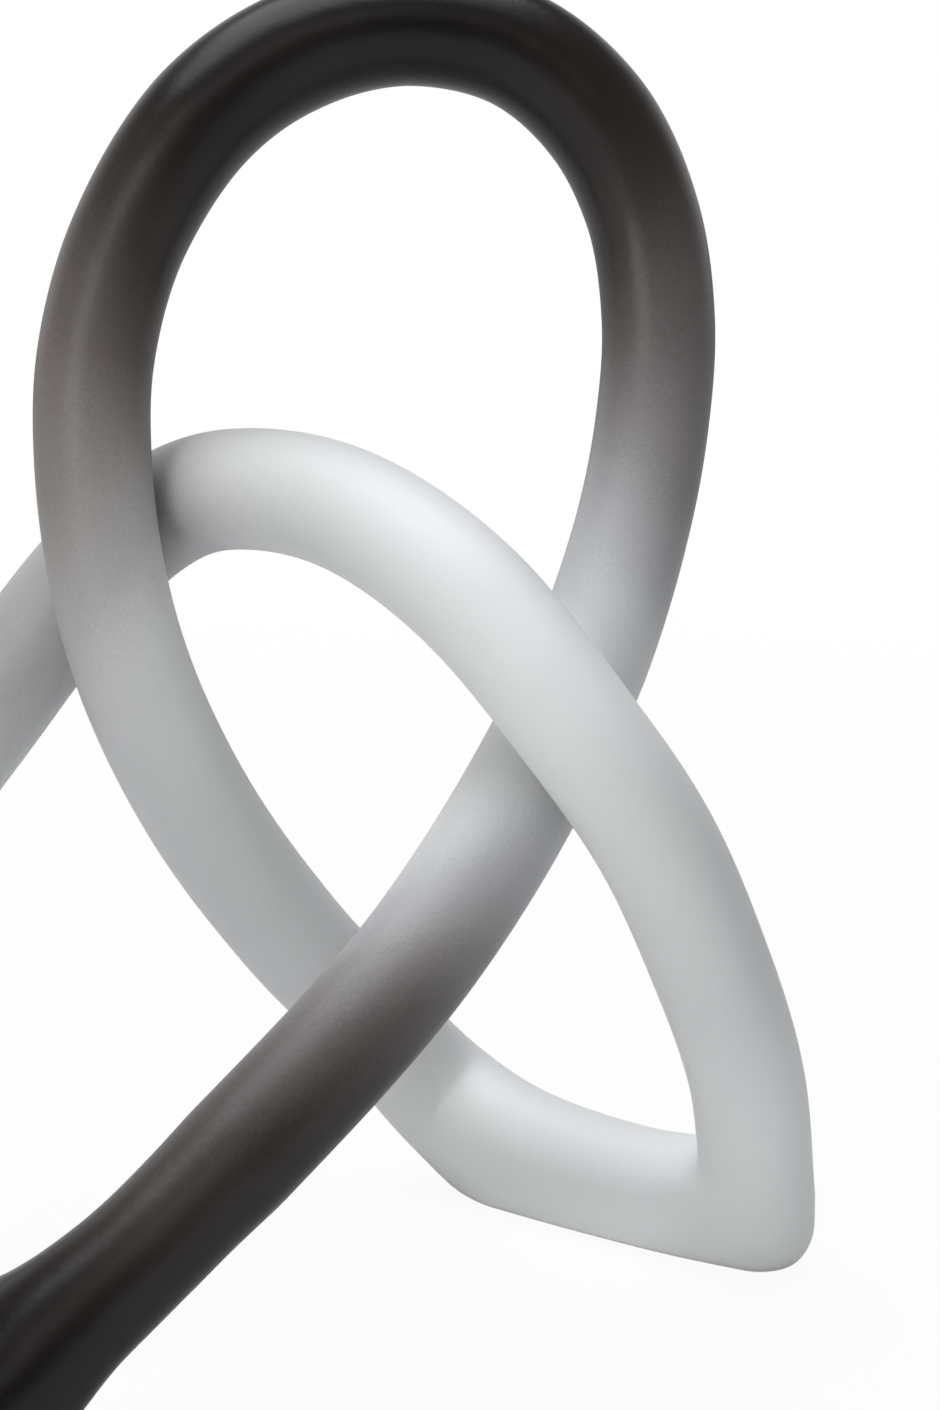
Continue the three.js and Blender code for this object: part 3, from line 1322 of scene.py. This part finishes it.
@dataclass(frozen=True)
class OmbreLacquer:
    """Satin lacquer sprayed in a fade from pale grey to black.

    Attributes:
        stops: Its colours from pale to black.
        cool_light_tint, warm_light_tint: Painted light: tints of the fade for the colour of the light,
            cool low on the right and warm high on the left.
        warm_light_rise: Height over place across, where the warm painted tint starts and is full.
        cloud_period, cloud_depth: Size and depth of the clouds that make the fade uneven.
        mist_period, mist_depth: The same of the fine spray in the fade.
        gloss: How strongly it reflects, 0.5 for a plain lacquer.
        roughness: Its mean roughness where it is pale.
        black_smoother: How much less rough it is where it is black.
        patch_period, patch_depth: Size of its rougher and smoother patches, and how much they differ.
        peel_period, peel_height: Size and height of its orange peel.
        wave_period, wave_height: Size and height of its slow waves.
    """

    stops: tuple[tuple[float, Colour], ...] = (
        (0.0, (0.93, 0.94, 0.935)),
        (0.07, (0.785, 0.79, 0.785)),
        (0.2, (0.495, 0.495, 0.505)),
        (0.4, (0.282, 0.268, 0.262)),
        (0.6, (0.140, 0.126, 0.120)),
        (0.8, (0.047, 0.039, 0.035)),
        (0.9, (0.019, 0.0150, 0.0130)),
        (1.0, (0.0040, 0.0030, 0.0025)),
    )
    cool_light_tint: Colour = (1.0, 0.99, 1.01)
    warm_light_tint: Colour = (1.03, 0.98, 0.93)
    warm_light_rise: tuple[float, float] = (0.16, 0.28)
    cloud_period: float = 0.045
    cloud_depth: float = 0.06
    mist_period: float = 0.0007
    mist_depth: float = 0.10
    gloss: float = 0.30
    roughness: float = 0.48
    black_smoother: float = 0.17
    patch_period: float = 0.012
    patch_depth: float = 0.06
    peel_period: float = 0.0016
    peel_height: float = 0.00004
    wave_period: float = 0.016
    wave_height: float = 0.0003

    def material(self) -> bpy.types.Material:
        """Builds the material.

        Returns:
            The material.
        """
        finish = bpy.data.materials.new("ombre_lacquer")
        graph = Graph(finish)
        place = graph.place()
        shade = graph.attribute(SHADE_ATTRIBUTE)
        fading = 4.0 * shade * (1.0 - shade)
        cloud = graph.noise(place, self.cloud_period, detail=3.0)
        mist = graph.noise(place, self.mist_period, detail=1.0)
        uneven = (self.cloud_depth * cloud + self.mist_depth * mist) * fading
        colour = graph.ramp((shade + uneven).limited(), list(self.stops))
        # Painted light: the fade is tinted cool low on the right and warm high on the left, for the
        # colour of the light there.
        across, _, up = graph.parts(place)
        warm_light_share = graph.rise(up - across, *self.warm_light_rise)
        tint = graph.mix(warm_light_share, (*self.cool_light_tint, 1.0), (*self.warm_light_tint, 1.0))
        colour = graph.mix(fading.limited(), colour, tint, "MULTIPLY")
        patches = graph.noise(place, self.patch_period, detail=3.0)
        roughness = self.roughness - self.black_smoother * shade + self.patch_depth * patches
        peel = graph.noise(place, self.peel_period, detail=1.0)
        wave = graph.noise(place, self.wave_period, detail=1.0)
        height = peel * (self.peel_height / RELIEF) + wave * (self.wave_height / RELIEF)
        normal = graph.bump(height, RELIEF)
        surface = graph.principled(
            Base_Color=colour, Roughness=roughness, Specular_IOR_Level=self.gloss, Normal=normal
        )
        graph.finish("Material", surface)
        return finish


@dataclass(frozen=True)
class GroundSteel:
    """Ground steel of the dowel pins.

    Attributes:
        dark, bright: Its colours in and on the grind marks.
        roughness, roughness_change: Its mean roughness, and how much the marks change it.
        grind_period, grind_height: Size and height of the marks.
    """

    dark: Colour = (0.46, 0.47, 0.48)
    bright: Colour = (0.62, 0.63, 0.64)
    roughness: float = 0.32
    roughness_change: float = 0.2
    grind_period: float = 0.0004
    grind_height: float = 0.00002

    def material(self) -> bpy.types.Material:
        """Builds the material.

        Returns:
            The material.
        """
        finish = bpy.data.materials.new("ground_steel")
        graph = Graph(finish)
        grind = graph.noise(graph.place(), self.grind_period, detail=3.0)
        colour = graph.ramp((grind + 0.5).limited(), [(0.0, self.dark), (1.0, self.bright)])
        normal = graph.bump(grind, self.grind_height)
        roughness = self.roughness + self.roughness_change * grind
        surface = graph.principled(
            Base_Color=colour, Metallic=1.0, Roughness=roughness, Normal=normal
        )
        graph.finish("Material", surface)
        return finish


@dataclass(frozen=True)
class PressedFelt:
    """Pale pressed felt of the pads under the feet.

    Attributes:
        dark, pale: Its colours between and on the fibres.
        fibre_period, fibre_height, fibre_contrast: Size, height and contrast of the fibres.
        stain_period, stain_contrast: Size and contrast of its uneven patches.
        roughness, roughness_change: Its mean roughness, and how much the fibres change it.
        sheen: How much fuzz shows at its rim.
    """

    dark: Colour = (0.60, 0.58, 0.54)
    pale: Colour = (0.86, 0.84, 0.80)
    fibre_period: float = 0.0005
    fibre_height: float = 0.0003
    fibre_contrast: float = 1.4
    stain_period: float = 0.004
    stain_contrast: float = 0.4
    roughness: float = 0.95
    roughness_change: float = 0.08
    sheen: float = 0.3

    def material(self) -> bpy.types.Material:
        """Builds the material.

        Returns:
            The material.
        """
        finish = bpy.data.materials.new("pressed_felt")
        graph = Graph(finish)
        place = graph.place()
        fibre = graph.noise(place, self.fibre_period, detail=5.0, rough=0.7)
        stain = graph.noise(place, self.stain_period)
        paleness = fibre * self.fibre_contrast + stain * self.stain_contrast + 0.5
        colour = graph.ramp(paleness.limited(), [(0.0, self.dark), (1.0, self.pale)])
        normal = graph.bump(fibre, self.fibre_height)
        roughness = self.roughness + self.roughness_change * fibre
        surface = graph.principled(
            Base_Color=colour, Roughness=roughness, Sheen_Weight=self.sheen, Normal=normal
        )
        graph.finish("Material", surface)
        return finish


@dataclass(frozen=True)
class FeltPad:
    """A felt disc in its recess under a foot.

    Attributes:
        name: The CAD node that it replaces.
        centre: The middle of that node's box.
        radius, thickness: Its size.
        edge: Its rounded edge.
    """

    name: str
    centre: Place
    radius: float = 0.006
    thickness: float = 0.002
    edge: float = 0.0004

    def build(self) -> bpy.types.Object:
        """Models the pad.

        Returns:
            The finished mesh object.
        """
        start_clean()
        x, y, _ = self.centre
        bpy.ops.mesh.primitive_cylinder_add(
            vertices=ROUND_SIDES,
            radius=self.radius,
            depth=self.thickness,
            location=(x, y, self.thickness / 2),
        )
        pad = bpy.context.object
        pad.name = f"{self.name}_disc"
        settle(pad)
        apply_modifier(pad, "BEVEL", width=self.edge, segments=3, limit_method="ANGLE")
        soften_shading(pad, 50)
        return pad


@dataclass(frozen=True)
class DowelPin:
    """A steel dowel pin across a joint.

    Attributes:
        name: The CAD node that it replaces.
        joint: The joint that it crosses.
        radius, length: Its size.
        chamfer: The chamfer round its ends.
    """

    name: str
    joint: Joint
    radius: float = 0.003
    length: float = 0.040
    chamfer: float = 0.0006

    def build(self) -> bpy.types.Object:
        """Models the pin.

        Returns:
            The finished mesh object.
        """
        start_clean()
        turn = self.joint.direction.to_track_quat("Z", "Y").to_euler()
        bpy.ops.mesh.primitive_cylinder_add(
            vertices=ROUND_SIDES,
            radius=self.radius,
            depth=self.length,
            location=self.joint.centre,
            rotation=turn,
        )
        pin = bpy.context.object
        pin.name = f"{self.name}_ground"
        settle(pin)
        apply_modifier(pin, "BEVEL", width=self.chamfer, segments=2, limit_method="ANGLE")
        soften_shading(pin, 30)
        return pin


@dataclass
class Knot:
    """The whole sculpture.

    Attributes:
        sizes: Its sizes.
        overrun: How far a casting's bar is modelled past a joint before it is cut there.
    """

    sizes: KnotSizes = field(default_factory=KnotSizes)
    overrun: float = 0.008

    def __post_init__(self) -> None:
        """Lays the runs of the bar and finds the joints on them."""
        s = self.sizes
        foot, strand, crown = s.right_foot(), s.left_strand(), s.crown()
        leg, arch = s.left_leg(), s.arch()
        self.back = BarRun([*foot, *strand, *crown, *s.diagonal()])
        self.front = BarRun([*leg, *arch])
        self.web = BarRun(s.left_web())
        third = self.back.distance_of(len(foot))
        crown_end = self.back.distance_of(len(foot) + len(strand) + len(crown))
        self.right_joint = Joint(self.back, third)
        self.crown_joint = Joint(self.back, crown_end + s.crown_joint_shift)
        self.left_joint = Joint(self.front, self.front.distance_of(len(leg)))

    def castings(self, right_pads: list[Place], left_pads: list[Place]) -> list[CastLoop]:
        """Describes the three castings.

        Args:
            right_pads, left_pads: Places of the felt pads under the two feet.

        Returns:
            The castings from right to left.
        """
        back, front, web = self.back, self.front, self.web
        over = self.overrun
        third, second = self.right_joint.distance, self.crown_joint.distance
        first = self.left_joint.distance
        right = CastLoop(
            Casting.RIGHT,
            Slot.PALE,
            [
                Stretch(front, first - over, front.length, front.length),
                Stretch(back, 0.0, third + over),
            ],
            [(self.left_joint, -1), (self.right_joint, 1)],
            corner=self.sizes.right_corner(),
            pads=right_pads,
            # Painted light from above: the right loop's upper side is painted paler, its underside
            # darker.
            lean=(0.02, 0.0, 0.5),
            painted_shade_depth=0.4,
        )
        crown = CastLoop(
            Casting.CROWN,
            Slot.FADED,
            [Stretch(back, third - over, second + over)],
            [(self.right_joint, -1), (self.crown_joint, 1)],
        )
        left = CastLoop(
            Casting.LEFT,
            Slot.DARK,
            [
                Stretch(back, second - over, back.length, back.length),
                Stretch(front, 0.0, first + over),
            ],
            [(self.crown_joint, -1), (self.left_joint, 1)],
            corner=self.sizes.left_corner(),
            web=Stretch(web, 0.0, web.length),
            pads=left_pads,
            # Painted light and shade: the left loop's side turned to the inside of its bend is painted
            # paler, the side turned away darker.
            lean=(-0.06, 0.0, 0.12),
            painted_shade_depth=0.8,
        )
        return [right, crown, left]


@dataclass(frozen=True)
class Softbox:
    """A soft lamp.

    Attributes:
        name: Its name.
        place, aim: Where it hangs, and the place that it faces.
        width, depth: Its size.
        watts: Its power.
        colour: Its colour.
    """

    name: str
    place: Place
    aim: Place
    width: float
    depth: float
    watts: float
    colour: Colour = (1.0, 1.0, 1.0)

    def build(self) -> None:
        """Hangs the lamp."""
        start_clean()
        bpy.ops.object.light_add(type="AREA", location=self.place)
        lamp = bpy.context.object
        lamp.name = self.name
        lamp.data.shape = "RECTANGLE"
        lamp.data.size = self.width
        lamp.data.size_y = self.depth
        lamp.data.energy = self.watts
        lamp.data.color = self.colour
        aim = Vector(self.aim) - Vector(self.place)
        lamp.rotation_euler = aim.to_track_quat("-Z", "Y").to_euler()


@dataclass(frozen=True)
class Studio:
    """The white studio: floor, surroundings, lamps and camera.

    Attributes:
        floor_size, floor_colour, floor_roughness: The floor.
        floor_shadow: How much of the shadow on the floor the camera sees.
        shadow_fades: Distances from the middle where the shadow is gone and where it is full.
        room_light: How much light the surroundings give.
        room_gloss: How bright they look in reflections, outside the white wall behind.
        wall_behind: How far back the wall starts in reflections and is full.
        wall_top: How high up it ends and is still full.
        camera_place, camera_pitch, camera_lens, camera_sensor: The photograph's view.
    """

    floor_size: float = 60.0
    floor_colour: Colour = (0.85, 0.85, 0.85)
    floor_roughness: float = 0.9
    floor_shadow: float = 0.06
    shadow_fades: tuple[float, float] = (1.2, 0.3)
    room_light: float = 0.05
    room_gloss: float = 0.08
    wall_behind: tuple[float, float] = (0.1, 0.7)
    wall_top: tuple[float, float] = (0.75, 0.25)
    camera_place: Place = (0.044, -0.853, 0.339)
    camera_pitch: float = 12.0
    camera_lens: float = 93.52
    camera_sensor: float = 36.0

    def build(self) -> None:
        """Sets the studio up."""
        self._lay_floor()
        self._set_world()
        for lamp in self._lamps():
            lamp.build()
        self._place_camera()
        bpy.context.scene.view_settings.view_transform = "Standard"

    @staticmethod
    def _lamps() -> list[Softbox]:
        """Describes the lamps.

        Returns:
            The lamps.
        """
        middle = (0.0, 0.0, 0.15)
        return [
            Softbox("overhead_lamp", (-0.4, 0.1, 3.0), middle, 3.0, 3.2, 101.0, (0.945, 0.975, 1.0)),
            Softbox("front_lamp", (0.0, -3.35, 2.45), middle, 2.0, 1.4, 7.0),
            Softbox("left_lamp", (-2.0, -3.0, 1.25), middle, 1.6, 1.6, 33.0, (1.0, 0.995, 0.985)),
        ]

    def _lay_floor(self) -> None:
        """Lays a white floor that keeps a faint shadow."""
        start_clean()
        bpy.ops.mesh.primitive_plane_add(size=self.floor_size)
        floor = bpy.context.object
        floor.name = "studio_floor"
        finish = bpy.data.materials.new("white_floor")
        graph = Graph(finish)
        white = (*self.floor_colour, 1.0)
        board = graph.principled(Base_Color=white, Roughness=self.floor_roughness)
        glow = graph.node("ShaderNodeEmission", None, {"Color": (1, 1, 1, 1), "Strength": 1.0})
        near = graph.rise(graph.length(graph.place()), *self.shadow_fades)
        share = graph.ray("Is Camera Ray") * (1.0 - self.floor_shadow * near)
        inputs = {0: share, 1: board, 2: Signal(graph, glow.outputs["Emission"])}
        mixed = graph.node("ShaderNodeMixShader", None, inputs)
        graph.finish("Material", Signal(graph, mixed.outputs["Shader"]))
        floor.data.materials.append(finish)

    def _set_world(self) -> None:
        """Makes the surroundings white where the camera looks, and dim elsewhere.

        Reflections see a white wall behind the sculpture, and a dim room round it.
        """
        world = bpy.data.worlds.new("studio")
        bpy.context.scene.world = world
        graph = Graph(world)
        around = graph.node("ShaderNodeTexCoord").outputs["Generated"]
        _, back, up = graph.parts(Signal(graph, around))
        wall = graph.rise(back, *self.wall_behind) * graph.rise(up, *self.wall_top)
        mirrored = self.room_gloss + (1.0 - self.room_gloss) * wall
        shown = graph.maths("MAXIMUM", graph.ray("Is Camera Ray"), graph.ray("Is Transmission Ray"))
        glossy = graph.ray("Is Glossy Ray")
        light = glossy * mirrored + (1.0 - glossy) * self.room_light
        light = shown + (1.0 - shown) * light
        inputs = {"Color": (1, 1, 1, 1), "Strength": light}
        background = graph.node("ShaderNodeBackground", None, inputs)
        graph.finish("World", Signal(graph, background.outputs["Background"]))

    def _place_camera(self) -> None:
        """Places the camera where the photograph was taken from."""
        start_clean()
        turn = Euler((math.radians(90 - self.camera_pitch), 0.0, 0.0))
        bpy.ops.object.camera_add(location=self.camera_place, rotation=turn)
        camera = bpy.context.object
        camera.name = "studio_camera"
        camera.data.lens = self.camera_lens
        camera.data.sensor_width = self.camera_sensor
        camera.data.sensor_fit = "AUTO"
        camera.data.clip_start = 0.01
        camera.data.clip_end = 200.0
        camera.data.dof.use_dof = False
        bpy.context.scene.camera = camera


def hand_over(piece: bpy.types.Object, node: str, finish: bpy.types.Material) -> None:
    """Dresses a piece and puts it in the place of its CAD node.

    Args:
        piece: The modelled piece.
        node: The node that it replaces.
        finish: Its material.
    """
    piece.data.materials.clear()
    piece.data.materials.append(finish)
    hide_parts(node)
    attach(piece, ROOT_BODY)
    LOG.info("%s stands for %s, %d faces", piece.name, node, len(piece.data.polygons))


def middle_of(node: str) -> Place:
    """Finds the middle of a CAD node's box."""
    low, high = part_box(node)
    return tuple((low + high) / 2)


def main() -> None:
    """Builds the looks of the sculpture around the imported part."""
    logging.basicConfig(level=logging.INFO, format="%(name)s: %(message)s")
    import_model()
    Studio().build()
    knot = Knot()
    right_pads = [FeltPad(name, middle_of(name)) for name in RIGHT_PADS]
    left_pads = [FeltPad(name, middle_of(name)) for name in LEFT_PADS]
    lacquer = OmbreLacquer().material()
    places = [[pad.centre for pad in pads] for pads in (right_pads, left_pads)]
    for loop in knot.castings(*places):
        hand_over(loop.build(), loop.casting.value, lacquer)
    steel = GroundSteel().material()
    pins = {
        "dowel_pin_left": knot.left_joint,
        "dowel_pin_crown": knot.crown_joint,
        "dowel_pin_right": knot.right_joint,
    }
    for name, joint in pins.items():
        hand_over(DowelPin(name, joint).build(), name, steel)
    felt = PressedFelt().material()
    for pad in [*right_pads, *left_pads]:
        hand_over(pad.build(), pad.name, felt)


if __name__ == "__main__":
    main()
